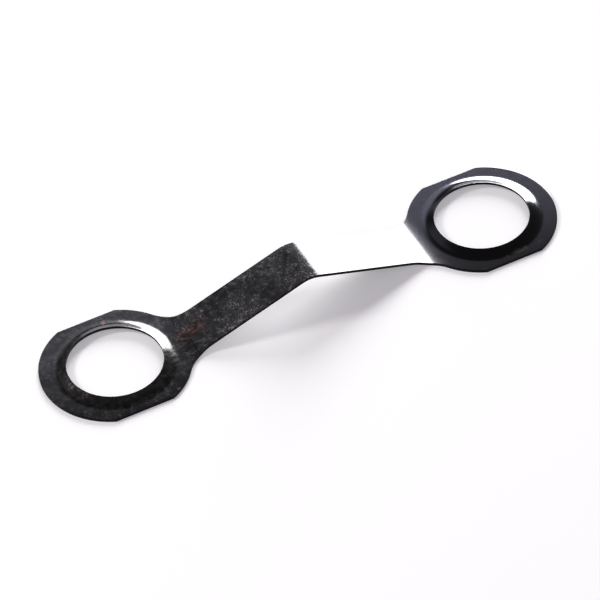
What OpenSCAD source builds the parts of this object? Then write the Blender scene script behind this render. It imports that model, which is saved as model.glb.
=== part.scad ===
// Lock plate: one blank of thin steel sheet with an eye at each end.
// Each eye has a hole with a turned up lip and two sheared flats. A strap joins
// the eyes and is bent into a low roof, so the plate is springy along its length.
// Millimetres. The origin is on the underside of the eyes, midway between the
// two holes. X runs from hole to hole and Z is up.

/* [Sheet] */
// Thickness of the steel sheet
sheet_t = 1.0; // [0.8:0.1:1.5]

/* [Holes] */
// Diameter of the hole in each eye
hole_d = 33; // [24:0.5:48]
// Distance between the centres of the two holes
hole_pitch = 140; // [130:1:220]

/* [Lips] */
// Height of a lip's upper rim above the top face of its eye
lip_rise = 1.45; // [1:0.05:2.5]
// Slope of a lip at its rim, in degrees
lip_slope = 23.5; // [15:0.5:30]
// Inner radius of the bend where the flat sheet turns up into the lip
lip_bend_r = 8; // [2:0.5:8]

/* [Eyes] */
// Width of the flat sheet from a lip's foot to the round edge of its eye
eye_margin = 4.5; // [3.5:0.25:8]
// Width of the flat sheet from a lip's foot to each sheared flat
flat_margin = 2.25; // [1:0.25:3]

/* [Strap] */
// Width of the strap
strap_w = 18.6; // [12:0.2:24]
// Radius of the fillets in the blank between an eye and the strap
fillet_r = 13.5; // [6:0.5:16]
// Slope of both halves of the strap, in degrees
strap_slope = 18.4; // [8:0.2:25]
// Inner radius of the strap's three bends
strap_bend_r = 10; // [3:0.5:12]
// Distance from the round edge of an eye to the corner line of the strap's foot
foot_gap = 0.5; // [0.5:0.25:4]

/* [Hidden] */

$fn = 128;

// Depth by which a rounding bites into the faces that it blends, so that the
// curves cross instead of only touching
bite = 0.001;
// Reach of a shape past the part where it is cut off or taken away
over = 1;
// Width of the flat ring in which a lip and the sheet round it overlap
lap = 0.4;

hole_r = hole_d / 2;

// Corner line of a lip's top face, before its bend is rounded
lip_corner_r = hole_r + lip_rise / tan(lip_slope);
// Where the flat sheet ends and the lip's bend begins
lip_foot_r = lip_corner_r + lip_bend_r * tan(lip_slope / 2);
// The flat sheet is open as far as here, and the lip is set in from above
lip_opening_r = lip_foot_r + lap;
lip_outer_r = lip_opening_r + lap;

eye_r = lip_foot_r + eye_margin;
flats_w = 2 * (lip_foot_r + flat_margin);

// Centre of a fillet in the blank, seen from the centre of its eye
fillet_y = strap_w / 2 + fillet_r - bite;
fillet_x = sqrt(pow(eye_r + fillet_r - bite, 2) - pow(fillet_y, 2));

// Corner line of the underside at the strap's foot, from the middle of the plate
foot_x = hole_pitch / 2 - eye_r - foot_gap;
// Corner line of the underside at the ridge
ridge_z = foot_x * tan(strap_slope);
// Axis of the ridge's bend
ridge_axis_z = ridge_z - strap_bend_r / cos(strap_slope);

// Depth of the filled side views, which reach below the lowest rounding
fill_z = 3 * strap_bend_r;
// Half length and height of a space that holds the whole plate
space_x = hole_pitch / 2 + eye_r + over;
space_z = ridge_z + 2 * sheet_t + lip_rise;

// Fills the hollow corner between a level face and a face that turns up from it.
// The corner is a point [x, z], and dir is 1 where the slope rises towards +X.
module hollow_corner(corner, dir, slope, bend_r) {
    take = bend_r * tan(slope / 2);
    depth = over;
    level_end = corner + [-dir * take, 0];
    slope_end = corner + take * [dir * cos(slope), sin(slope)];
    difference() {
        polygon([
            level_end,
            slope_end,
            slope_end + depth * [dir * sin(slope), -cos(slope)],
            level_end + [0, -depth]
        ]);
        translate(level_end + [0, bend_r])
            circle(r = bend_r + bite);
    }
}

// Side view of all that lies below one face of the folded sheet. The face is
// lift above the underside, measured through the sheet.
module below_fold(lift, past) {
    corner_x = foot_x + lift * tan(strap_slope / 2);
    ridge_r = strap_bend_r + lift;
    turn_x = ridge_r * sin(strap_slope);
    turn_z = ridge_axis_z + ridge_r * cos(strap_slope);
    polygon([
        [-space_x - past, lift],
        [-corner_x, lift],
        [-turn_x, turn_z],
        [turn_x, turn_z],
        [corner_x, lift],
        [space_x + past, lift],
        [space_x + past, -fill_z - past],
        [-space_x - past, -fill_z - past]
    ]);
    translate([0, ridge_axis_z])
        circle(r = ridge_r + bite);
    for (side = [-1, 1])
        hollow_corner([side * corner_x, lift], -side, strap_slope, strap_bend_r + sheet_t - lift);
}

// The blank folded to its side view and left wide, before its outline is cut
module folded_sheet() {
    rotate([90, 0, 0])
        linear_extrude(height = flats_w + over, center = true)
            difference() {
                below_fold(sheet_t, 0);
                below_fold(0, over);
            }
}

// The round end of the blank with its two sheared flats, centred on the origin
module eye_outline() {
    intersection() {
        circle(r = eye_r);
        square([2 * eye_r + over, flats_w], center = true);
    }
}

// The strap's root, which flares out to meet the eye at the origin in a fillet on
// each side. The strap lies along +X.
module root_outline() {
    difference() {
        polygon([[0, 0], [fillet_x, -fillet_y], [fillet_x, fillet_y]]);
        for (side = [-1, 1])
            translate([fillet_x, side * fillet_y])
                circle(r = fillet_r);
    }
}

// The whole blank in plan
module blank_outline() {
    square([hole_pitch, strap_w], center = true);
    for (turn = [0, 180])
        rotate(turn)
            translate([-hole_pitch / 2, 0]) {
                eye_outline();
                root_outline();
            }
}

// Section, beside the axis of a hole, of all that lies below one face of the lip
module below_lip(lift, past) {
    corner_r = lip_corner_r - (sheet_t - lift) * tan(lip_slope / 2);
    inner_r = hole_r - past;
    polygon([
        [lip_outer_r + past, lift],
        [corner_r, lift],
        [inner_r, lift + (corner_r - inner_r) * tan(lip_slope)],
        [inner_r, -lip_bend_r - past],
        [lip_outer_r + past, -lip_bend_r - past]
    ]);
    hollow_corner([corner_r, lift], -1, lip_slope, lip_bend_r + sheet_t - lift);
}

// The turned up lip and the flat ring round it. The hole cuts the lip off upright.
module lip() {
    rotate_extrude()
        difference() {
            below_lip(sheet_t, 0);
            below_lip(0, over);
        }
}

module lock_plate() {
    color("#35363a") {
        difference() {
            intersection() {
                folded_sheet();
                linear_extrude(height = space_z)
                    blank_outline();
            }
            for (side = [-1, 1])
                translate([side * hole_pitch / 2, 0, -over])
                    cylinder(r = lip_opening_r, h = sheet_t + 2 * over);
        }
        for (side = [-1, 1])
            translate([side * hole_pitch / 2, 0, 0])
                lip();
    }
}

lock_plate();
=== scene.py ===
"""Photo studio scene of a lock plate: two lipped eyes joined by a bent strap.

The plate is one blank of dark tempered steel sheet. The blank is laid out flat here,
with its sheared edges, and a press tree of Geometry Nodes then folds the strap and
turns up the lips. Sizes are in metres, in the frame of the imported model.
"""

import logging
import math
from collections.abc import Callable
from dataclasses import dataclass, field
from enum import Enum
from functools import reduce

import bpy
from bpy.types import ID, Material, Mesh, Node, NodeSocket, NodeTree, Object
from mathutils import Euler, Matrix, Vector


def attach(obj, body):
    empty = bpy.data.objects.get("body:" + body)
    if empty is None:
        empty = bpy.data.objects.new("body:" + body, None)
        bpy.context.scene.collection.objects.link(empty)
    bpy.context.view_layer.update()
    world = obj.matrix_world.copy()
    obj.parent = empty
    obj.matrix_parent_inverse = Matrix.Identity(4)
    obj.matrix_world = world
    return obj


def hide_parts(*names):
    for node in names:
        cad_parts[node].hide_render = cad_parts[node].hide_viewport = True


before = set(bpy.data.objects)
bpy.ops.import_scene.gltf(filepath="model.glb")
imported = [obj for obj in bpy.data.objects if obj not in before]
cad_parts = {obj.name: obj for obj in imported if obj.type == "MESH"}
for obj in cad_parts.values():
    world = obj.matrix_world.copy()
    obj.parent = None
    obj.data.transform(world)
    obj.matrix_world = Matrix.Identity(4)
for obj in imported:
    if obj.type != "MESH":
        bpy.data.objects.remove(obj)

LOG = logging.getLogger("lock_plate")
MM = 0.001
CAD_NODE = "lock_plate"
BODY = "root"
# The colour sockets of a Mix node: its two inputs and its output
MIX_LOW, MIX_HIGH, MIXED = 6, 7, 2

Pair = tuple[float, float]
Colour = tuple[float, float, float]


@dataclass(frozen=True)
class Field:
    """A number in a node tree, which can be reckoned with like any other number.

    Args:
        tree: The node tree that the number lives in.
        socket: The output socket that gives it.
    """

    tree: NodeTree
    socket: NodeSocket

    def reckon(self, operation: str, *others: "Field | float") -> "Field":
        """Adds one Math node that starts from this number.

        Args:
            operation: The Math node's operation.
            others: The second and third numbers, where the operation takes them.

        Returns:
            The result.
        """
        numbers = dict(enumerate((self, *others)))
        node = add_node(self.tree, "ShaderNodeMath", numbers, operation=operation)
        return Field(self.tree, node.outputs[0])

    def __add__(self, other: "Field | float") -> "Field":
        """Sum."""
        return self.reckon("ADD", other)

    def __sub__(self, other: "Field | float") -> "Field":
        """Difference."""
        return self.reckon("SUBTRACT", other)

    def __mul__(self, other: "Field | float") -> "Field":
        """Product."""
        return self.reckon("MULTIPLY", other)

    def at_least(self, other: "Field | float") -> "Field":
        """The larger of the two."""
        return self.reckon("MAXIMUM", other)

    def at_most(self, other: "Field | float") -> "Field":
        """The smaller of the two."""
        return self.reckon("MINIMUM", other)

    def between(self, low: float, high: float) -> "Field":
        """Stretches 0 to 1 into low to high."""
        return self * (high - low) + low

    def within(self, start: Pair, end: Pair) -> "Field":
        """1 between the zone in which something begins and that in which it ends."""
        return self.rise(*start) * self.rise(*end)

    def size(self) -> "Field":
        """This number without its sign."""
        return self.reckon("ABSOLUTE")

    def leg_of(self, long_side: "Field") -> "Field":
        """The other leg of a right-angled triangle with this leg and that long side."""
        return (long_side * long_side - self * self).at_least(0.0).reckon("SQRT")

    def long_side_with(self, other: "Field") -> "Field":
        """The long side of a right-angled triangle with these two legs."""
        return (self * self + other * other).reckon("SQRT")

    def rise(self, start: float, end: float) -> "Field":
        """A smooth step.

        Args:
            start: Where the step is still 0.
            end: Where it has reached 1. It may be smaller than start.

        Returns:
            The step, between 0 and 1.
        """
        step = {
            "Value": self,
            "From Min": min(start, end),
            "From Max": max(start, end),
            "To Min": float(start > end),
            "To Max": float(start < end),
        }
        kind = "ShaderNodeMapRange"
        node = add_node(self.tree, kind, step, interpolation_type="SMOOTHSTEP")
        return Field(self.tree, node.outputs["Result"])


def add_node(
    tree: NodeTree, kind: str, inputs: dict[str | int, object] | None = None, **settings: str
) -> Node:
    """Adds a node to a tree.

    Args:
        tree: The tree.
        kind: Type of the node.
        inputs: Numbers, sockets or fixed values for its inputs, by name or place.
        settings: The node's own settings.

    Returns:
        The node.
    """
    node = tree.nodes.new(kind)
    for name, choice in settings.items():
        setattr(node, name, choice)
    for name, value in (inputs or {}).items():
        source = value.socket if isinstance(value, Field) else value
        if isinstance(source, NodeSocket):
            tree.links.new(source, node.inputs[name])
        else:
            node.inputs[name].default_value = source
    return node


def parts_of(tree: NodeTree, vector: NodeSocket) -> list[Field]:
    """The x, y and z of a vector."""
    node = add_node(tree, "ShaderNodeSeparateXYZ", {0: vector})
    return [Field(tree, part) for part in node.outputs]


def along_and_across(x: Field, y: Field, degrees: float) -> tuple[Field, Field]:
    """Parts of a place along a direction and across it, to the left."""
    cos, sin = math.cos(math.radians(degrees)), math.sin(math.radians(degrees))
    return x * cos + y * sin, y * cos - x * sin


def stepped(start: float, end: float, steps: int) -> list[float]:
    """Evenly spaced numbers from start to end, with both."""
    return [start + (end - start) * step / steps for step in range(steps + 1)]


def put_in_scene(name: str, data: ID) -> Object:
    """Puts something into the scene as an object.

    Args:
        name: Name of the object.
        data: The mesh, lamp or camera.

    Returns:
        The object.
    """
    made = bpy.data.objects.new(name, data)
    bpy.context.scene.collection.objects.link(made)
    return made


def aimed(place: Vector, forward: Vector, roll: float) -> Matrix:
    """Pose of a lamp or camera that looks forward, rolled by an angle in degrees."""
    turn = forward.to_track_quat("-Z", "Y").to_matrix().to_4x4()
    return Matrix.Translation(place) @ turn @ Matrix.Rotation(math.radians(roll), 4, "Z")


@dataclass(frozen=True)
class ShearedEdge:
    """Section of a sheared edge, from the top face of the sheet to its underside.

    The punch first draws the corner in, then cuts a clean band, and the rest tears
    off at a slight lean and leaves a small burr.

    Args:
        rollover: Radius of the drawn-in top corner.
        clean_band: Height of the clean cut below it.
        lean: How far the torn band leans in.
        burr: Width and height of the broken corner at the underside.
        corner_steps: Number of facets round the top corner.
    """

    rollover: float = 0.12 * MM
    clean_band: float = 0.36 * MM
    lean: float = 0.03 * MM
    burr: float = 0.04 * MM
    corner_steps: int = 3

    def stations(self, thickness: float) -> list[Pair]:
        """Points of the section.

        Args:
            thickness: Thickness of the sheet.

        Returns:
            Pairs of inset from the cut line and height above the underside.
        """
        points: list[Pair] = []
        for turn in stepped(0.0, math.pi / 2, self.corner_steps):
            drop = self.rollover * (1 - math.cos(turn))
            points.append((self.rollover * (1 - math.sin(turn)), thickness - drop))
        clean_end = (0.0, thickness - self.rollover - self.clean_band)
        return [*points, clean_end, (self.lean, self.burr), (self.lean + self.burr, 0.0)]


@dataclass
class MeshMaker:
    """Collects points and faces, and gives each place one point only.

    Args:
        points: Places of the points so far.
        faces: Rows of point numbers, each counterclockwise seen from outside.
        known: Number of the point at each rounded place.
        grain: Step to which places are rounded there.
    """

    points: list[Vector] = field(default_factory=list)
    faces: list[tuple[int, ...]] = field(default_factory=list)
    known: dict[tuple[int, int, int], int] = field(default_factory=dict)
    grain: float = 1e-5 * MM

    def point(self, place: Vector) -> int:
        """Number of the point at a place, which is new if none was there.

        Args:
            place: Where the point is.

        Returns:
            The point's number.
        """
        key = tuple(round(part / self.grain) for part in place)
        if key not in self.known:
            self.known[key] = len(self.points)
            self.points.append(place)
        return self.known[key]

    def strip(self, first: list[int], second: list[int]) -> None:
        """Joins a row of points with the one to its left, as seen from outside."""
        for corners in zip(first, first[1:], second[1:], second):
            self.faces.append(tuple(dict.fromkeys(corners)))

    def mesh(self, name: str, measures: dict[str, Callable[[Vector], float]]) -> Mesh:
        """The points and faces as a mesh that carries measures of its points.

        Args:
            name: Name of the mesh.
            measures: What gives each measure at a place, by its name.

        Returns:
            The mesh.
        """
        made = bpy.data.meshes.new(name)
        made.from_pydata(self.points, [], self.faces)
        for label, measure in measures.items():
            numbers = made.attributes.new(label, "FLOAT", "POINT").data
            numbers.foreach_set("value", [measure(place) for place in self.points])
        made.validate()
        return made


@dataclass
class Blank:
    """The flat blank in plan, with the sizes of the real part.

    Args:
        thickness: Thickness of the sheet.
        hole_radius: Radius of the hole in each eye.
        hole_pitch: Distance between the holes' centres.
        lip_foot_radius: Where the flat sheet ends and a lip's bend begins.
        eye_radius: Radius of an eye's round edge.
        flats_width: Distance across an eye's two sheared flats.
        strap_width: Width of the strap.
        fillet_radius: Radius of the fillets between an eye and the strap.
        foot_gap: From an eye's round edge to the corner line of the strap's foot.
        lip_bend: Inner radius of the bend at a lip's foot.
        lip_slope: Slope of the lips, in radians.
        strap_bend: Inner radius of the bends at the strap's feet and in its ridge.
        strap_slope: Slope of the strap's halves, in radians.
        edge: Section of the sheared edges.
        root_run: From a hole's centre to the line where the strap's grid takes over.
        root_turn: Half of the angle in which an eye's sheet runs on into the strap.
        column_turn: Largest angle between two columns of an eye's grid, in radians.
        support: From a cut line to the grid line that keeps its corner sharp.
        across_steps: Facets from the strap's centre line to its edge.
        lip_steps: Facets round the bend at a lip's foot.
        rim_steps: Facets from there to the eye's edge.
        bend_steps: Facets round the bend at the strap's foot, and down from the ridge.
        slope_steps: Facets along the strap's flare and along its straight part.
    """

    thickness: float = 1.0 * MM
    hole_radius: float = 16.5 * MM
    hole_pitch: float = 140.0 * MM
    lip_foot_radius: float = 21.5 * MM
    eye_radius: float = 26.0 * MM
    flats_width: float = 47.5 * MM
    strap_width: float = 18.6 * MM
    fillet_radius: float = 13.5 * MM
    foot_gap: float = 0.5 * MM
    lip_bend: float = 8.0 * MM
    lip_slope: float = math.radians(23.5)
    strap_bend: float = 10.0 * MM
    strap_slope: float = math.radians(18.4)
    edge: ShearedEdge = ShearedEdge()
    root_run: float = 24.0 * MM
    root_turn: float = math.radians(24.0)
    column_turn: float = math.radians(1.6)
    support: float = 0.15 * MM
    across_steps: int = 9
    lip_steps: int = 10
    rim_steps: int = 4
    bend_steps: int = 8
    slope_steps: tuple[int, int] = (6, 14)

    def __post_init__(self) -> None:
        """Works out what follows from the sizes."""
        self.half_pitch = self.hole_pitch / 2
        self.foot_x = self.half_pitch - self.eye_radius - self.foot_gap
        self.fillet_y = self.strap_width / 2 + self.fillet_radius
        self.fillet_gap = self.eye_radius + self.fillet_radius
        self.fillet_x = math.sqrt(self.fillet_gap**2 - self.fillet_y**2)
        self.fillet_turn = math.atan2(self.fillet_y, self.fillet_x)
        self.edge_stations = self.edge.stations(self.thickness)

    def half_width(self, run: float) -> float:
        """Half of the strap's width, flared at its root, at a run from the hole's centre."""
        short = max(0.0, self.fillet_x - run)
        return self.fillet_y - math.sqrt(self.fillet_radius**2 - short**2)

    def reach(self, turn: float) -> float:
        """Distance from a hole's centre to the cut line of its eye.

        Args:
            turn: Direction, as an angle from the strap.

        Returns:
            The distance.
        """
        away = abs(math.remainder(turn, 2 * math.pi))
        if away < self.fillet_turn:
            across = self.fillet_gap * math.sin(self.fillet_turn - away)
            along = self.fillet_gap * math.cos(self.fillet_turn - away)
            return along - math.sqrt(self.fillet_radius**2 - across**2)
        if self.eye_radius * math.sin(away) > self.flats_width / 2:
            return self.flats_width / 2 / math.sin(away)
        return self.eye_radius

    def root_shares(self) -> list[float]:
        """Places of the grid's lines across the strap, from -1 to 1."""
        support = 1 - self.support / self.half_width(self.root_run)
        return [-1.0, *stepped(-support, support, 2 * self.across_steps), 1.0]

    def wall_turns(self) -> list[float]:
        """Directions of the columns that end in the cut line.

        Returns:
            The directions as angles from the strap, once round the eye.
        """
        corner = math.atan2(self.half_width(self.root_run), self.root_run)
        flat_start = math.asin(self.flats_width / 2 / self.eye_radius)
        ends = [corner, self.fillet_turn, flat_start, math.pi - flat_start, math.pi]
        half: list[float] = []
        for low, high in zip(ends, ends[1:]):
            half += stepped(low, high, math.ceil((high - low) / self.column_turn))[1:]
        return half + [2 * math.pi - turn for turn in reversed(half[:-1])]

    def face_row(self, toward: Vector, end: Vector, lift: float, inset: float) -> list[Vector]:
        """Points of one face along one column, from the hole outwards.

        Args:
            toward: Direction of the column where it leaves the hole.
            end: Its last point on this face.
            lift: Height of the face above the underside.
            inset: How far the face stands back from its cut lines.

        Returns:
            The points, seen from the hole.
        """
        rim = self.hole_radius + inset
        layer = self.lip_bend + self.thickness - lift
        turns = stepped(self.lip_slope, 0.0, self.lip_steps)
        bend = [self.lip_foot_radius - layer * math.sin(turn) for turn in turns]
        radii = [rim, rim + self.support, (rim + bend[0]) / 2, *bend]
        row = [toward * radius for radius in (*radii, bend[-1] + 2 * self.support)]
        start = row[-1]
        last = 1 - self.support / (end - start).length
        row += [start.lerp(end, share) for share in stepped(0.0, last, self.rim_steps)[1:]]
        return [Vector((*place, lift)) for place in (*row, end)]

    def column(self, turn: float, share: float | None) -> tuple[list[Vector], int]:
        """One column of an eye's grid, once round its section.

        Args:
            turn: Direction of a column that ends in the cut line.
            share: Place across the strap of a column that runs into it, or None.

        Returns:
            The points from the hole's top edge out, down and back, seen from the
            hole, and the number of points on each face.
        """
        width = self.half_width(self.root_run)
        rows: list[list[Vector]] = []
        wall: list[Vector] = []
        hole_wall: list[Vector] = []
        for inset, lift in self.edge_stations:
            if share is None:
                toward = Vector((math.cos(turn), math.sin(turn)))
                end = cut = toward * (self.reach(turn) - inset)
            else:
                end = Vector((self.root_run, share * (width - inset)))
                cut = Vector((self.root_run, math.copysign(width - inset, share)))
                toward = end.normalized()
            rows.append(self.face_row(toward, end, lift, inset))
            wall.append(Vector((*cut, lift)))
            hole_wall.append(Vector((*toward * (self.hole_radius + inset), lift)))
        top, under = rows[0], rows[-1]
        back = [*reversed(under), *reversed(hole_wall[1:-1]), top[0]]
        return [*top, *wall[1:-1], *back], len(top)

    def edge_gap(self, place: Vector) -> float:
        """Distance from a point of the flat blank to the nearest cut line, roughly.

        Args:
            place: The point, with the middle of the blank at the origin.

        Returns:
            The distance, in plan.
        """
        run = self.half_pitch - abs(place.x)
        # Points on the root line itself count as points of the strap
        if run > self.root_run - self.support / 6:
            return max(0.0, self.half_width(run) - abs(place.y))
        radius = math.hypot(run, place.y)
        turn = math.atan2(place.y, run)
        gap = radius - self.hole_radius
        if abs(turn) > self.root_turn:
            gap = min(gap, self.reach(turn) - radius)
        return max(0.0, gap)

    def lay_eye(self, maker: MeshMaker, turned: int) -> None:
        """Lays one eye of the blank.

        Args:
            maker: Where the points and faces go.
            turned: 1 for the left eye, or -1 for the right eye, turned half round.
        """
        columns: list[tuple[list[int], int, bool]] = []
        shares = self.root_shares()
        middle = len(shares) // 2
        plans = [(0.0, share) for share in shares[middle:]]
        plans += [(turn, None) for turn in self.wall_turns()]
        plans += [(0.0, share) for share in shares[: middle + 1]]
        middle_x = turned * self.half_pitch
        for turn, share in plans:
            places, count = self.column(turn, share)
            moved = [Vector((turned * x - middle_x, turned * y, z)) for x, y, z in places]
            numbers = [maker.point(place) for place in moved]
            columns.append((numbers, count, share is not None))
        for (first, count, opens), (second, _, also_opens) in zip(columns, columns[1:]):
            if opens and also_opens:
                maker.strip(first[:count], second[:count])
                rest = len(first) - len(self.edge_stations) + 2 - count
                maker.strip(first[-rest:], second[-rest:])
            else:
                maker.strip(first, second)

    def strap_runs(self, lift: float) -> list[float]:
        """Distances of the strap's grid lines from the middle of the plate.

        Args:
            lift: Height of the layer above the underside.

        Returns:
            The distances, from the root line of the left eye to the middle.
        """
        outer = self.strap_bend + self.thickness
        hollow = outer - lift
        crown = self.strap_bend + lift
        foot = self.foot_x + outer * math.tan(self.strap_slope / 2)
        turns = stepped(0.0, self.strap_slope, self.bend_steps)
        runs = [self.half_pitch - self.root_run]
        runs += [foot - hollow * math.sin(turn) for turn in turns]
        flare_end = self.half_pitch - self.fillet_x
        ends = (runs[-1], flare_end, crown * math.sin(self.strap_slope))
        for start, end, steps in zip(ends, ends[1:], self.slope_steps):
            runs += stepped(start, end, steps)[1:]
        return runs + [crown * math.sin(turn) for turn in reversed(turns[:-1])]

    def strap_section(self, index: int, side: int) -> list[Vector]:
        """Points once round the strap at one of its grid lines.

        Args:
            index: Number of the grid line, counted from the eye.
            side: -1 for the left half of the strap, 1 for the right half.

        Returns:
            The points: over the top, down the far edge, back, and up the near edge.
        """
        rows: list[list[Vector]] = []
        for inset, lift in self.edge_stations:
            run = self.strap_runs(lift)[index]
            width = self.half_width(self.half_pitch - run) - inset
            places = [(side * run, share * width, lift) for share in self.root_shares()]
            rows.append([Vector(place) for place in places])
        top, *walls, under = rows
        down = [row[-1] for row in walls]
        back_up = [row[0] for row in reversed(walls)]
        return [*top, *down, *reversed(under), *back_up, top[0]]

    def lay_strap(self, maker: MeshMaker) -> None:
        """Lays the strap of the blank, from root line to root line.

        Args:
            maker: Where the points and faces go.
        """
        count = len(self.strap_runs(0.0))
        plans = [(index, -1) for index in range(count)]
        plans += [(index, 1) for index in range(count - 2, -1, -1)]
        sections = [
            [maker.point(place) for place in self.strap_section(index, side)]
            for index, side in plans
        ]
        for first, second in zip(sections, sections[1:]):
            maker.strip(second, first)

    def lay_out(self) -> Mesh:
        """Lays out the whole flat blank.

        Returns:
            One closed mesh.
        """
        maker = MeshMaker()
        self.lay_eye(maker, 1)
        self.lay_strap(maker)
        self.lay_eye(maker, -1)
        measures = {"edge_gap": self.edge_gap, "lift": lambda place: place.z}
        return maker.mesh("flat_blank", measures)


@dataclass
class PressTree:
    """Geometry Nodes that press a flat blank into the finished plate.

    Every point of the blank keeps its place in plan and moves up. Its height above
    the underside picks the layer of the sheet, and each layer bends on its own radius
    round the same axis, so the sheet keeps its thickness.

    Args:
        blank: The blank that gives the sizes.
        sliver: Height within which a point still counts as lying on a face.
    """

    blank: Blank
    sliver: float = 0.011 * MM

    def sizes(self) -> dict[str, float]:
        """Sizes that the tree takes in.

        Returns:
            The value of each of its named inputs.
        """
        blank = self.blank
        return {
            "Sheet Thickness": blank.thickness,
            "Half Pitch": blank.half_pitch,
            "Strap Foot": blank.foot_x,
            "Strap Slope": blank.strap_slope,
            "Strap Bend Radius": blank.strap_bend,
            "Lip Foot Radius": blank.lip_foot_radius,
            "Lip Slope": blank.lip_slope,
            "Lip Bend Radius": blank.lip_bend,
        }

    def turned_up(self, run: Field, radius: Field, slope: Field) -> Field:
        """Rise of a layer past the start of a bend with its hollow side up.

        Args:
            run: Distance past the start of the bend, never below 0.
            radius: Radius of the layer in the bend.
            slope: Slope beyond the bend.

        Returns:
            The rise.
        """
        in_bend = run.at_most(radius * slope.reckon("SINE"))
        arc = radius - in_bend.leg_of(radius)
        return arc + (run - in_bend) * slope.reckon("TANGENT")

    def height(self, inputs: dict[str, Field], place: tuple[Field, Field, Field]) -> Field:
        """Height of a point of the pressed plate.

        Args:
            inputs: The tree's named inputs.
            place: The point's x, y and z on the flat blank.

        Returns:
            The new z.
        """
        x, y, lift = place
        run_x = x.size()
        slope = inputs["Strap Slope"]
        half_turn = (slope * 0.5).reckon("TANGENT")
        outer = inputs["Strap Bend Radius"] + inputs["Sheet Thickness"]
        crown = inputs["Strap Bend Radius"] + lift
        crown_run = crown * slope.reckon("SINE")
        foot_start = inputs["Strap Foot"] + outer * half_turn
        past_foot = (foot_start - run_x.at_least(crown_run)).at_least(0.0)
        fold = self.turned_up(past_foot, outer - lift, slope)
        cap = run_x.at_most(crown_run).leg_of(crown) - crown_run.leg_of(crown)
        radius = (run_x - inputs["Half Pitch"]).long_side_with(y)
        past_lip_foot = (inputs["Lip Foot Radius"] - radius).at_least(0.0)
        lip_radius = inputs["Lip Bend Radius"] + inputs["Sheet Thickness"] - lift
        lip = self.turned_up(past_lip_foot, lip_radius, inputs["Lip Slope"])
        return lift + fold + cap + lip

    def build(self, steel: Material, cut: Material) -> NodeTree:
        """Makes the tree: it moves the points, and gives faces and edges their finish.

        Args:
            steel: Finish of the sheet's two faces.
            cut: Finish of its sheared edges.

        Returns:
            The tree.
        """
        tree = bpy.data.node_groups.new("press_the_blank", "GeometryNodeTree")
        face = tree.interface
        face.new_socket("Blank", in_out="INPUT", socket_type="NodeSocketGeometry")
        for name in self.sizes():
            face.new_socket(name, in_out="INPUT", socket_type="NodeSocketFloat")
        face.new_socket("Plate", in_out="OUTPUT", socket_type="NodeSocketGeometry")
        entry = add_node(tree, "NodeGroupInput")
        inputs = {name: Field(tree, entry.outputs[name]) for name in self.sizes()}
        x, y, lift = parts_of(tree, add_node(tree, "GeometryNodeInputPosition").outputs[0])
        pressed = {"X": x, "Y": y, "Z": self.height(inputs, (x, y, lift))}
        join = add_node(tree, "ShaderNodeCombineXYZ", pressed)
        moved = {"Geometry": entry.outputs["Blank"], "Position": join.outputs[0]}
        shape = add_node(tree, "GeometryNodeSetPosition", moved)
        real = add_node(tree, "GeometryNodeRealizeInstances", {0: shape.outputs[0]})
        kind = "GeometryNodeInputNamedAttribute"
        carried = add_node(tree, kind, {"Name": "lift"}, data_type="FLOAT")
        level = Field(tree, carried.outputs["Attribute"])
        above = level.reckon("GREATER_THAN", self.sliver)
        below = level.reckon("LESS_THAN", self.blank.thickness - self.sliver)
        whole = {"Geometry": real.outputs[0], "Material": steel}
        sheet = add_node(tree, "GeometryNodeSetMaterial", whole)
        edges = {"Geometry": sheet.outputs[0], "Material": cut, "Selection": above * below}
        plate = add_node(tree, "GeometryNodeSetMaterial", edges)
        add_node(tree, "NodeGroupOutput", {"Plate": plate.outputs[0]})
        return tree


class Wear(Enum):
    """Kinds of mark on the steel."""

    RUST = "rust"
    SCUFF = "scuff"
    FLECK = "fleck"


@dataclass(frozen=True)
class Mark:
    """One mark on the top face.

    Args:
        kind: What it is.
        x: Place along the plate.
        y: Place across the plate.
        length: Full length.
        width: Full width.
        turn: Direction of its length, in degrees from the plate's long axis.
        strength: How strongly it shows, up to 1.
    """

    kind: Wear
    x: float
    y: float
    length: float
    width: float
    turn: float = 0.0
    strength: float = 1.0


# How far a mark's ragged border strays, and where it fades out, both as shares of the
# mark's half size
MARK_TEAR = 2.4
MARK_BORDER = (1.15, 0.35)


@dataclass(frozen=True)
class Grain:
    """A cloudy pattern in a finish.

    Args:
        size: Size of its largest features, in millimetres.
        detail: Number of finer layers.
        roughness: How strong the finer layers are.
        seed: Shifts the pattern, so that two patterns differ.
        patches: Values between which the pattern fades into patches, or None where it
            stays cloudy.
    """

    size: float
    detail: float
    roughness: float
    seed: float
    patches: Pair | None = None


class Pattern(Enum):
    """The cloudy patterns of the finishes."""

    CLOUDS = Grain(14.0, 4.0, 0.55, 3.0, (0.36, 0.66))
    BLOTCHES = Grain(2.2, 5.0, 0.62, 7.0, (0.38, 0.66))
    ROLLING_LINES = Grain(0.7, 3.0, 0.6, 11.0)
    PITS = Grain(0.55, 3.0, 0.7, 19.0)
    SPECKS = Grain(0.6, 2.0, 0.7, 37.0, (0.50, 0.62))
    RUBBED_PATCHES = Grain(3.0, 3.0, 0.6, 41.0, (0.40, 0.60))
    RUST_BORDERS = Grain(1.3, 3.0, 0.7, 43.0)
    WAVES = Grain(2.2, 2.0, 0.5, 7.0)
    TORN_BORDER = Grain(1.1, 3.0, 0.6, 5.0)
    FIBRES = Grain(0.22, 2.0, 0.6, 9.0)
    LIGHT_RUST = Grain(4.0, 3.0, 0.6, 15.0, (0.55, 0.75))


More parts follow.
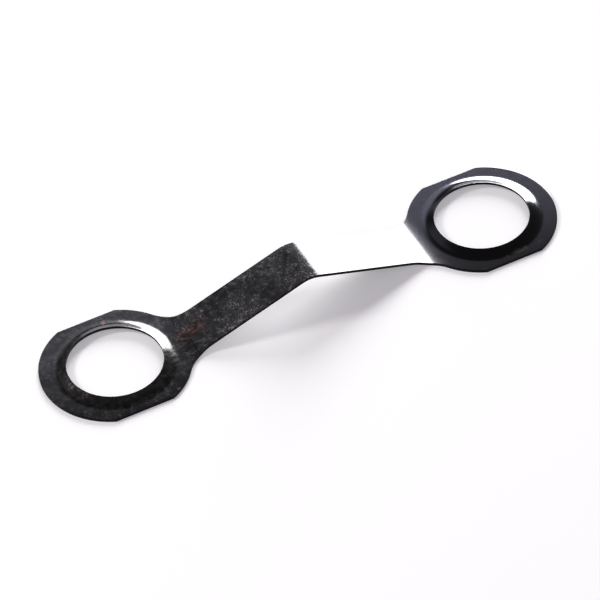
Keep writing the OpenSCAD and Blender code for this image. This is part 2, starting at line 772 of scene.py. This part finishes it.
class ShaderTree:
    """A material's node tree, with the few nodes that the finishes share."""

    def __init__(self, name: str) -> None:
        """Starts a material.

        Args:
            name: Name of the material.
        """
        self.material = bpy.data.materials.new(name)
        self.material.use_nodes = True
        self.tree = self.material.node_tree
        self.tree.nodes.clear()
        self.shader = add_node(self.tree, "ShaderNodeBsdfPrincipled")
        add_node(self.tree, "ShaderNodeOutputMaterial", {"Surface": self.shader.outputs[0]})
        coordinates = add_node(self.tree, "ShaderNodeTexCoord")
        scaled = {0: coordinates.outputs["Object"], "Scale": 1 / MM}
        scale = add_node(self.tree, "ShaderNodeVectorMath", scaled, operation="SCALE")
        self.place = scale.outputs[0]
        self.x, self.y, self.z = parts_of(self.tree, self.place)

    def attribute(self, name: str) -> Field:
        """A number that the mesh carries, in millimetres."""
        node = add_node(self.tree, "ShaderNodeAttribute", attribute_name=name)
        return Field(self.tree, node.outputs["Fac"]) * (1 / MM)

    def noise(self, pattern: Pattern, place: NodeSocket | None = None) -> Field:
        """Lays a pattern over the material.

        Args:
            pattern: The pattern.
            place: Coordinates to read, or None for the object's own.

        Returns:
            The pattern, from 0 to 1.
        """
        grain = pattern.value
        inputs = {
            "Vector": place or self.place,
            "W": grain.seed,
            "Scale": 1 / grain.size,
            "Detail": grain.detail,
            "Roughness": grain.roughness,
        }
        node = add_node(self.tree, "ShaderNodeTexNoise", inputs, noise_dimensions="4D")
        cloudy = Field(self.tree, node.outputs["Fac"])
        return cloudy.rise(*grain.patches) if grain.patches else cloudy

    def mix(self, low: Colour | NodeSocket, high: Colour, factor: Field) -> NodeSocket:
        """Mixes two colours.

        Args:
            low: Colour where the factor is 0.
            high: Colour where the factor is 1.
            factor: The factor.

        Returns:
            The mixed colour.
        """
        start = low if isinstance(low, NodeSocket) else (*low, 1.0)
        inputs = {0: factor, MIX_LOW: start, MIX_HIGH: (*high, 1.0)}
        node = add_node(self.tree, "ShaderNodeMix", inputs, data_type="RGBA")
        return node.outputs[MIXED]

    def mark(self, spot: Mark, ragged: Field) -> Field:
        """Shape of one mark: an oval with a ragged border.

        Args:
            spot: The mark.
            ragged: A pattern from 0 to 1 that tears the border.

        Returns:
            1 inside the mark and 0 outside.
        """
        along, across = along_and_across(self.x - spot.x, self.y - spot.y, spot.turn)
        share = (along * (2 / spot.length)).long_side_with(across * (2 / spot.width))
        reach = share + (ragged - 0.5) * MARK_TEAR
        return reach.rise(*MARK_BORDER) * spot.strength

    def link(self, value: Field | NodeSocket, name: str) -> None:
        """Feeds one of the shader's inputs."""
        socket = value.socket if isinstance(value, Field) else value
        self.tree.links.new(socket, self.shader.inputs[name])

    def bump(self, height: Field) -> None:
        """Gives the surface a relief, whose height is in millimetres."""
        node = add_node(self.tree, "ShaderNodeBump", {"Distance": MM, "Height": height})
        self.link(node.outputs[0], "Normal")


@dataclass(frozen=True)
class TemperedSteel:
    """Rolled spring steel with the thin dark oxide that tempering leaves.

    Lengths are in millimetres. A zone is a pair of places: where something isn't there yet,
    and where it is whole. Zones lie along the plate, unless it says otherwise.

    Args:
        dark: Colour of the thick oxide, and of the painted shade on the left eye's near side.
        pale: Colour of the thin oxide.
        blued_and_sheen: Colour of the blue oxide on the right side, and of its painted sheen.
        bare: Colour of steel that is rubbed bare.
        rust: Colour of the rust.
        roughness: Roughness of the plain oxide.
        top_face: Zone of the top face, by height in the flat sheet.
        worn_side: Zone of the worn left side.
        left_slope: Zones in which the left slope begins and ends.
        right_foot: Zones in which the strap's right foot begins and ends.
        lips: Zone of the lips, by height.
        dusty_eye: Zone of the eye with dust on its lip.
        painted_near_shade: Zone, by x + y, of painted shade that leaves the left eye's near
            side dark.
        dark_eye: Zone of the right eye, where the oxide is thick.
        sheen: Zone of the painted sheen, by y + sheen_turn * x, in which the blue oxide grows
            towards the far side.
        sheen_turn: Slope in plan of its border.
        rubbed_edge: Zone of the rubbed rim, by distance from the cut edge.
        stretch: Share to which the rolling lines are thinned out along the plate.
        lip_foot: Radius of a lip's foot.
        bow: Slope by which the sheet bows down at that distance from its long axis.
        foot_x: Where the bend at the strap's right foot ends, from the middle.
        foot_fade: Width over which the sheet straightens from there.
        foot_skew: Slope in plan of the line where it is straight.
        spring: Slope that the sheet still has at foot_x.
        ridge: Zone, by x - ridge_skew * y, in which the ridge is blunter.
        ridge_rise: Height by which it is blunter there.
        ridge_skew: Slope in plan of the ridge's line.
        marks: The single marks on the top face.
    """

    dark: Colour = (0.054, 0.052, 0.053)
    pale: Colour = (0.106, 0.104, 0.107)
    blued_and_sheen: Colour = (0.125, 0.127, 0.150)
    bare: Colour = (0.50, 0.49, 0.47)
    rust: Colour = (0.078, 0.018, 0.015)
    roughness: float = 0.10
    top_face: Pair = (0.3, 0.7)
    worn_side: Pair = (44.0, 2.0)
    left_slope: tuple[Pair, Pair] = ((-50.0, -40.0), (22.0, 1.0))
    right_foot: tuple[Pair, Pair] = ((41.0, 46.0), (52.0, 47.0))
    lips: Pair = (1.0, 1.8)
    dusty_eye: Pair = (-47.0, -52.0)
    painted_near_shade: Pair = (-103.0, -74.0)
    dark_eye: Pair = (47.0, 57.0)
    sheen: Pair = (-1.5, 32.5)
    sheen_turn: float = 0.35
    rubbed_edge: Pair = (0.32, 0.05)
    stretch: float = 0.12
    lip_foot: float = 21.5
    bow: float = math.radians(1.2)
    foot_x: float = 43.6
    foot_fade: float = 6.15
    foot_skew: float = 0.055
    spring: float = math.radians(7.6)
    ridge: Pair = (-1.5, 5.8)
    ridge_rise: float = 0.95
    ridge_skew: float = 0.08
    marks: tuple[Mark, ...] = (
        Mark(Wear.RUST, -41.7, 0.5, 14.0, 6.5, 18.0, 1.0),
        Mark(Wear.RUST, -65.3, 20.6, 4.6, 1.7, 80.0, 1.0),
        Mark(Wear.RUST, -94.4, 2.5, 2.4, 1.2, 70.0, 0.5),
        Mark(Wear.RUST, -86.0, -8.0, 16.0, 9.0, -55.0, 0.3),
        Mark(Wear.SCUFF, -87.4, 10.4, 7.0, 1.6, 65.0, 0.4),
        Mark(Wear.SCUFF, -87.5, 0.0, 5.0, 0.9, 85.0, 0.5),
        Mark(Wear.SCUFF, -51.2, -7.5, 6.0, 4.0, 30.0, 0.3),
        Mark(Wear.FLECK, -34.7, 5.6, 1.3, 0.9, 20.0, 0.8),
        Mark(Wear.FLECK, -40.0, -8.4, 1.1, 0.6, 15.0, 0.7),
        Mark(Wear.FLECK, -69.7, -20.3, 0.9, 0.5, 5.0, 0.6),
        Mark(Wear.FLECK, -65.0, -22.6, 1.6, 0.4, 5.0, 0.5),
        Mark(Wear.FLECK, -56.2, -21.2, 0.9, 0.5, 20.0, 0.3),
        Mark(Wear.FLECK, 73.0, -20.8, 11.0, 1.6, 8.0, 0.18),
    )

    def worn(self, nodes: ShaderTree, kind: Wear, ragged: Field) -> Field:
        """All marks of one kind together, with borders torn by a ragged pattern."""
        shapes = (nodes.mark(spot, ragged) for spot in self.marks if spot.kind is kind)
        return reduce(Field.at_least, shapes)

    def unevenness(self, nodes: ShaderTree, worn: Field) -> Field:
        """Relief by which the sheet strays from its ideal shape.

        Args:
            nodes: The material's tree.
            worn: 1 on the worn left side of the plate and 0 on the clean right side.

        Returns:
            The relief, in millimetres.
        """
        x, y = nodes.x, nodes.y
        bowed = y * y * (-0.5 * math.tan(self.bow) / self.lip_foot) * worn.between(0.6, 1.3)
        left = x.size().at_least(self.foot_x) * -1.0 + (self.foot_x + self.foot_fade)
        left = (left - y * self.foot_skew).at_least(0.0)
        sprung = left * left * (math.tan(self.spring) / (2 * self.foot_fade))
        blunt = (x - y * self.ridge_skew).rise(*self.ridge) * self.ridge_rise
        return bowed + sprung + blunt

    def build(self) -> Material:
        """Makes the material.

        Returns:
            The material.
        """
        nodes = ShaderTree("tempered_steel")
        x, y, z = nodes.x, nodes.y, nodes.z

        # Where things are
        top = nodes.attribute("lift").rise(*self.top_face)
        worn = x.rise(*self.worn_side)
        on_slope = x.within(*self.left_slope) * top
        foot = x.within(*self.right_foot) * top
        dust = z.rise(*self.lips) * x.rise(*self.dusty_eye) * top

        # Patterns and marks
        clouds = nodes.noise(Pattern.CLOUDS)
        mottle = nodes.noise(Pattern.BLOTCHES)
        thinned = {"X": x * self.stretch, "Y": y, "Z": z}
        lengthwise = add_node(nodes.tree, "ShaderNodeCombineXYZ", thinned).outputs[0]
        rolled = nodes.noise(Pattern.ROLLING_LINES, lengthwise)
        haze = (clouds * 0.6 + mottle * 0.4) * on_slope
        specks = nodes.noise(Pattern.SPECKS) * worn * top * (haze * 0.6 + mottle * 0.2)
        rust = self.worn(nodes, Wear.RUST, nodes.noise(Pattern.RUST_BORDERS)) * top
        rust = rust * mottle.between(0.3, 1.0)
        scuff = self.worn(nodes, Wear.SCUFF, rolled.rise(0.35, 0.65)) * top
        fleck = (self.worn(nodes, Wear.FLECK, mottle) * top).at_least(specks)
        rubbed = nodes.attribute("edge_gap").rise(*self.rubbed_edge)
        rubbed = rubbed * nodes.noise(Pattern.RUBBED_PATCHES)

        # Colour: thick to thin oxide with painted shade on the left eye's near side, blue
        # oxide with a painted sheen over it, then rust and bare steel
        thin = clouds * 0.35 + mottle * 0.4 + rolled * 0.25
        # Painted shade: the thin oxide fades out towards the left eye's near side, which
        # leaves it dark
        thin = thin * (x + y).rise(*self.painted_near_shade).between(0.4, 1.0)
        thin = thin * x.rise(*self.dark_eye).between(1.0, 0.2)
        # Blue oxide on the clean right side, and a painted sheen that lightens and blues it
        # towards the far side
        clean = (y + x * self.sheen_turn).rise(*self.sheen).between(0.08, 0.88)
        clean = clean * worn.between(1.0, 0.0) * mottle.between(1.0, 0.75)
        colour = nodes.mix(self.dark, self.pale, thin)
        colour = nodes.mix(colour, self.blued_and_sheen, clean)
        colour = nodes.mix(colour, self.rust, rust)
        bared = (scuff * 0.3).at_least(fleck * 0.5).at_least(rubbed * 0.12)
        nodes.link(nodes.mix(colour, self.bare, bared), "Base Color")

        # Roughness, and the film of dirt that hides the metal
        dulled = worn * mottle.between(0.03, 0.06) + haze * 0.03 + on_slope * 0.02
        dulled = dulled + fleck * 0.3 + rust * 0.25 + scuff * 0.12 + foot * 0.025
        nodes.link(dulled + self.roughness, "Roughness")
        film = worn * mottle.between(0.01, 0.07) + haze * 0.2 + on_slope * 0.06
        film = film + dust * 0.11 + rust * 0.22 + fleck * 0.4
        nodes.link(film.between(1.0, 0.0).at_least(0.0), "Metallic")

        # Relief, in millimetres
        pitted = nodes.noise(Pattern.PITS) * (on_slope * 0.015 + worn * 0.003 + 0.001)
        relief = nodes.noise(Pattern.WAVES) * 0.004 + rolled * 0.001 + pitted
        relief = relief + fleck * 0.008 + rust * 0.006
        nodes.bump(relief + self.unevenness(nodes, worn))
        return nodes.material


@dataclass(frozen=True)
class ShearedSteel:
    """A sheared edge: a clean band at the top and a torn, dull one below.

    Args:
        clean: Colour of the clean band.
        torn: Colour of the torn band.
        rust: Colour of its light rust.
        metal: How metallic it is.
        band: Height above the underside where the clean band turns into the torn one, in
            millimetres.
        raggedness: How far that border strays.
    """

    clean: Colour = (0.013, 0.012, 0.013)
    torn: Colour = (0.008, 0.0075, 0.008)
    rust: Colour = (0.03, 0.016, 0.012)
    metal: float = 0.95
    band: float = 0.52
    raggedness: float = 0.4

    def build(self) -> Material:
        """Makes the material.

        Returns:
            The material.
        """
        nodes = ShaderTree("sheared_steel")
        strays = (nodes.noise(Pattern.TORN_BORDER) - 0.5) * self.raggedness
        level = nodes.attribute("lift") + strays
        fine = nodes.noise(Pattern.FIBRES)
        torn = level.rise(self.band + 0.08, self.band - 0.08)
        colour = nodes.mix(self.clean, self.torn, torn)
        rusty = nodes.noise(Pattern.LIGHT_RUST) * 0.4
        nodes.link(nodes.mix(colour, self.rust, rusty), "Base Color")
        nodes.link(torn * 0.25 + fine * 0.12 + 0.4, "Roughness")
        nodes.shader.inputs["Metallic"].default_value = self.metal
        nodes.bump(fine * (torn * 0.012 + 0.003))
        return nodes.material


@dataclass
class LockPlate:
    """The whole part: one pressed piece of sheet.

    Args:
        blank: The flat blank.
        steel: Finish of the faces.
        cut: Finish of the sheared edges.
        sharp_angle: Angle from which an edge is shaded sharp, in radians.
    """

    blank: Blank = field(default_factory=Blank)
    steel: TemperedSteel = TemperedSteel()
    cut: ShearedSteel = ShearedSteel()
    sharp_angle: float = math.radians(34.0)

    def pressed(self, flat: Mesh) -> Mesh:
        """Runs the press tree on the flat blank.

        Args:
            flat: The flat blank.

        Returns:
            The pressed mesh, free of modifiers.
        """
        press = PressTree(self.blank)
        tree = press.build(self.steel.build(), self.cut.build())
        holder = put_in_scene("flat_blank", flat)
        modifier = holder.modifiers.new("press", "NODES")
        modifier.node_group = tree
        sizes = press.sizes()
        for item in tree.interface.items_tree:
            if item.name in sizes:
                modifier[item.identifier] = sizes[item.name]
        graph = bpy.context.evaluated_depsgraph_get()
        mesh = bpy.data.meshes.new_from_object(holder.evaluated_get(graph))
        bpy.data.objects.remove(holder)
        return mesh

    def build(self) -> list[Object]:
        """Makes the piece, hides the imported part, and hangs the piece under its body.

        Returns:
            The finished pieces.
        """
        mesh = self.pressed(self.blank.lay_out())
        mesh.name = "pressed_sheet"
        mesh.shade_smooth()
        mesh.set_sharp_from_angle(angle=self.sharp_angle)
        piece = put_in_scene("pressed_sheet", mesh)
        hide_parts(CAD_NODE)
        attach(piece, BODY)
        return [piece]


@dataclass(frozen=True)
class Lamp:
    """A soft studio lamp: a flat oval that shines at the plate.

    Args:
        name: Name of the lamp.
        heading: Direction it stands in, in degrees from +X towards +Y.
        elevation: Height above the floor, in degrees.
        distance: Distance from the middle of the plate.
        width: Width of the lit oval.
        height: Height of the lit oval.
        radiance: Brightness of the oval, where 1 looks white.
        roll: Angle by which its top is turned to the left, in degrees, seen from the plate.
        colour: Colour of the light.
    """

    name: str
    heading: float
    elevation: float
    distance: float
    width: float
    height: float
    radiance: float
    roll: float = 0.0
    colour: Colour = (1.0, 1.0, 1.0)

    def build(self) -> Object:
        """Sets the lamp up.

        Returns:
            The lamp.
        """
        data = bpy.data.lights.new(self.name, "AREA")
        data.shape = "ELLIPSE"
        data.size = self.width
        data.size_y = self.height
        data.energy = self.radiance * math.pi**2 / 4 * self.width * self.height
        data.color = self.colour
        lamp = put_in_scene(self.name, data)
        turn = Euler((0.0, math.radians(-self.elevation), math.radians(self.heading)))
        place = turn.to_matrix() @ Vector((self.distance, 0.0, 0.0))
        lamp.matrix_world = aimed(place, -place, -self.roll)
        return lamp


@dataclass(frozen=True)
class Panel:
    """A pale part of the room that surrounds the set.

    Args:
        heading: Direction of its middle, in degrees from +X towards +Y.
        half_width: From its middle to its side, in degrees.
        bottom: Elevation of its lower edge, in degrees.
        top: Elevation of its upper edge, in degrees.
        blur: Width over which its borders fade, in degrees.
        radiance: Brightness, where 1 looks white.
        colour: Colour of the light.
    """

    heading: float
    half_width: float
    bottom: float
    top: float
    blur: float
    radiance: float
    colour: Colour = (1.0, 1.0, 1.0)

    def share(self, way: list[Field]) -> Field:
        """How much of the panel is seen.

        Args:
            way: The x, y and z of the direction of view.

        Returns:
            1 on the panel and 0 beside it.
        """
        x, y, z = way
        ahead, aside = along_and_across(x, y, self.heading)
        off = aside.reckon("ARCTAN2", ahead).size() * math.degrees(1)
        level = z.reckon("ARCSINE") * math.degrees(1)
        across = off.rise(self.half_width + self.blur, self.half_width - self.blur)
        above = level.rise(self.bottom - self.blur, self.bottom + self.blur)
        return across * above * level.rise(self.top + self.blur, self.top - self.blur)


@dataclass(frozen=True)
class Studio:
    """Floor, lamps and surroundings.

    Args:
        floor_size: Side of the square floor.
        floor_colour: Colour of the floor.
        floor_roughness: Roughness of the floor.
        floor_sheen: Specular level of the floor.
        floor_glow: Whiteness that the floor adds where it is seen, and not as light.
        room: Brightness of the dim room.
        panels: The pale parts of the room.
        lamps: The lamps.
    """

    floor_size: float = 8.0
    floor_colour: Colour = (0.80, 0.795, 0.80)
    floor_roughness: float = 0.85
    floor_sheen: float = 0.2
    floor_glow: float = 0.28
    room: float = 0.06
    panels: tuple[Panel, ...] = (
        Panel(245.0, 85.0, -20.0, 62.0, 10.0, 0.45, (1.0, 0.86, 1.06)),
        Panel(74.0, 14.0, 16.0, 44.0, 8.0, 0.82, (0.94, 0.93, 1.08)),
        Panel(112.0, 14.0, 36.0, 62.0, 8.0, 0.17, (0.94, 0.93, 1.08)),
    )
    lamps: tuple[Lamp, ...] = (
        Lamp("window_lamp", 53.1, 17.6, 5.4, 2.52, 3.99, 17.5, 20.0),
        Lamp("key_lamp", 146.0, 37.0, 1.6, 0.42, 0.42, 26.0, 0.0, (1.0, 0.985, 0.98)),
    )

    def floor(self) -> Object:
        """Lays the floor.

        Returns:
            The floor.
        """
        half = self.floor_size / 2
        mesh = bpy.data.meshes.new("floor")
        rim = [(-half, -half, 0), (half, -half, 0), (half, half, 0), (-half, half, 0)]
        mesh.from_pydata(rim, [], [(0, 1, 2, 3)])
        nodes = ShaderTree("pale_floor")
        look = nodes.shader.inputs
        look["Base Color"].default_value = (*self.floor_colour, 1.0)
        look["Roughness"].default_value = self.floor_roughness
        look["Specular IOR Level"].default_value = self.floor_sheen
        look["Emission Color"].default_value = (1.0, 1.0, 1.0, 1.0)
        rays = add_node(nodes.tree, "ShaderNodeLightPath").outputs
        seen = Field(nodes.tree, rays["Is Camera Ray"])
        for other in ("Is Glossy Ray", "Is Transmission Ray"):
            seen = seen.at_least(Field(nodes.tree, rays[other]))
        nodes.link(seen * self.floor_glow, "Emission Strength")
        mesh.materials.append(nodes.material)
        made = put_in_scene("floor", mesh)
        return made

    def surroundings(self) -> None:
        """Makes the dim room round the set, with its pale panels."""
        world = bpy.data.worlds.new("studio_room")
        world.use_nodes = True
        tree = world.node_tree
        way = parts_of(tree, add_node(tree, "ShaderNodeTexCoord").outputs["Generated"])
        shares = [panel.share(way) for panel in self.panels]
        totals: dict[str, Field | float] = {}
        for channel, name in enumerate(("Red", "Green", "Blue")):
            totals[name] = self.room
            for panel, share in zip(self.panels, shares):
                totals[name] = share * (panel.radiance * panel.colour[channel]) + totals[name]
        light = add_node(tree, "ShaderNodeCombineColor", totals)
        tree.links.new(light.outputs[0], tree.nodes["Background"].inputs["Color"])
        bpy.context.scene.world = world

    def build(self) -> list[Object]:
        """Sets up the studio, and gives its floor and its lamps."""
        self.surroundings()
        return [self.floor(), *(lamp.build() for lamp in self.lamps)]


@dataclass(frozen=True)
class StillCamera:
    """The camera, at the photograph's viewing angle.

    Args:
        place: Where it stands.
        aim: The point of the floor in the middle of the picture.
        roll: Turn about its own axis, in degrees.
        lens: Focal length in millimetres, for a sensor 36 mm wide.
    """

    place: tuple[float, float, float] = (-0.41346, -0.96161, 1.02313)
    aim: tuple[float, float, float] = (-0.00205, -0.0032, 0.0)
    roll: float = -5.03
    lens: float = 257.8

    def build(self) -> Object:
        """Sets the camera up and makes it the scene's camera.

        Returns:
            The camera.
        """
        data = bpy.data.cameras.new("still_camera")
        data.lens = self.lens
        data.sensor_width = 36.0
        camera = put_in_scene("still_camera", data)
        place = Vector(self.place)
        camera.matrix_world = aimed(place, Vector(self.aim) - place, self.roll)
        bpy.context.scene.camera = camera
        return camera


def corners(box: tuple[Vector, Vector]) -> list[list[float]]:
    """A box as plain lists of numbers."""
    return [list(corner) for corner in box]


def main() -> None:
    """Builds the plate and the studio, and reports each piece."""
    logging.basicConfig(level=logging.INFO, format="%(name)s: %(message)s")
    bpy.context.scene.view_settings.view_transform = "Standard"
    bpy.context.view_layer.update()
    for piece in LockPlate().build():
        count = sum(len(face.vertices) - 2 for face in piece.data.polygons)
        LOG.info("piece %s with %d triangles", piece.name, count)
    for thing in Studio().build():
        LOG.info("studio %s", thing.name)
    LOG.info("camera %s", StillCamera().build().name)


if __name__ == "__main__":
    main()
